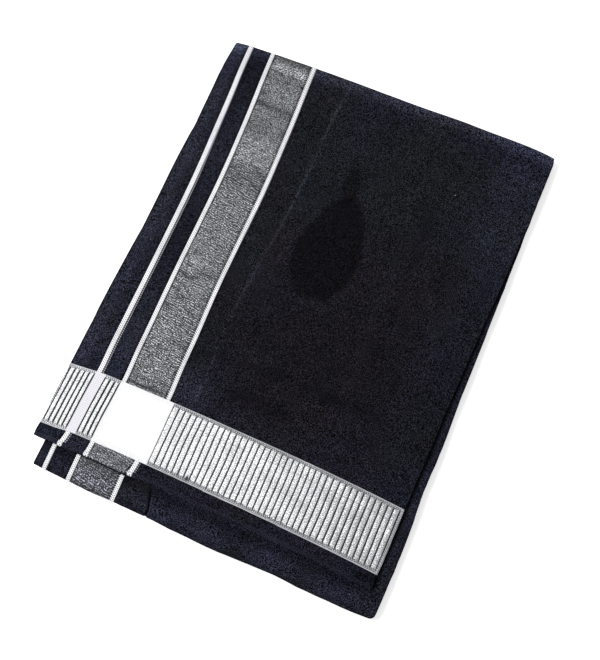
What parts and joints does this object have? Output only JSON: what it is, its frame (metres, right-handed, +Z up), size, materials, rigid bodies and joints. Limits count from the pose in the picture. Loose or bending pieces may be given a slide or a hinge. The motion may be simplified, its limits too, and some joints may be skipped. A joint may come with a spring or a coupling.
{
  "type": "folded lungi",
  "caption": "Black cotton lungi folded into a flat rectangular packet, with a silver border between white stripes along one side and a ribbed white cross band near its hemmed end.",
  "frame": {"origin": "centre of the packet's box, on the surface that the packet lies on", "axes": "+Z up. X across the packet, with the woven side border towards -X. Y along the packet, with the far fold at +Y and the hemmed end of the top length towards -Y."},
  "size_m": [0.3324, 0.443, 0.0127],
  "materials": {
    "black_cotton": "matte plain weave, soft handle, faint fuzz",
    "white_stripe": "white lattice-woven cotton, slight lustre",
    "silver_zari": "silver metallic thread on black, fine speckled lustre",
    "white_cross_band": "white and silver ribbed weave, soft lustre"
  },
  "bodies": {
    "root": {"hidden_lengths": "black_cotton", "second_length": "black_cotton", "top_length": "black_cotton", "top_hem": "black_cotton", "top_stripe_1": "white_stripe", "top_stripe_2": "white_stripe", "top_stripe_3": "white_stripe", "end_stripe_1": "white_stripe", "end_stripe_2": "white_stripe", "end_stripe_3": "white_stripe", "second_stripe_1": "white_stripe", "second_stripe_2": "white_stripe", "second_stripe_3": "white_stripe", "top_zari_band": "silver_zari", "end_zari_band": "silver_zari", "second_zari_band": "silver_zari", "cross_band": "white_cross_band"}
  },
  "joints": []
}
